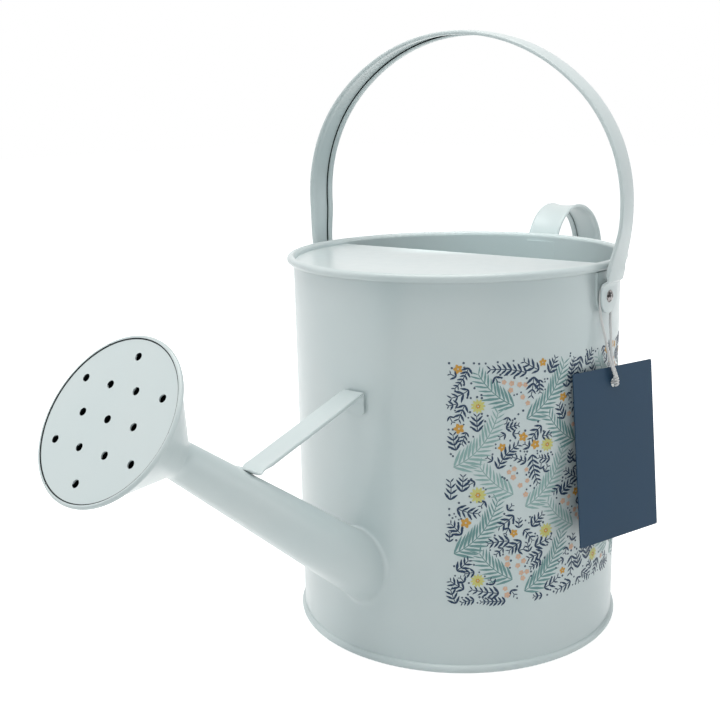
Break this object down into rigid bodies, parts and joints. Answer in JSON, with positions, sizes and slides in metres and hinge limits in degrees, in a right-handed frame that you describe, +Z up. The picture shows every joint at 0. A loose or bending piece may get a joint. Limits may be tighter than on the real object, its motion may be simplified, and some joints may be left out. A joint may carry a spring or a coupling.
{
  "type": "watering can",
  "caption": "Painted sheet-steel watering can with a tapered spout and rose, a braced spout, a swinging carrying handle, a fixed rear handle and a hanging card tag.",
  "frame": {"origin": "on the body's axis, at the surface that the can stands on", "axes": "+Z up; the spout points to -X and the rear handle to +X; the handle's ears lie on the Y axis, the tag's at -Y"},
  "size_m": [0.4071, 0.2052, 0.312],
  "materials": {
    "paint": "gloss pale duck-egg paint",
    "rivet": "bare worn steel",
    "tag_card": "matt dark blue card",
    "string": "white twisted cotton"
  },
  "bodies": {
    "can": {"body_shell": "paint", "base_plate": "paint", "top_cover": "paint", "spout_tube": "paint", "spout_brace": "paint", "rose_cone": "paint", "rose_face": "paint", "rear_handle": "paint", "ear_left": "paint", "ear_right": "paint", "rivet_left": "rivet", "rivet_right": "rivet"},
    "handle": {"carrying_handle": "paint"},
    "tag": {"hang_tag": "tag_card", "tag_string": "string"}
  },
  "joints": [
    {"name": "handle_swing", "type": "hinge", "parent": "can", "child": "handle", "pos_m": [0, 0, 0.183], "axis": [0, 1, 0], "range_deg": [-108, 71]},
    {"name": "tag_swing", "type": "hinge", "parent": "can", "child": "tag", "pos_m": [0, -0.0881, 0.183], "axis": [0, 1, 0], "range_deg": [-10, 20]}
  ]
}
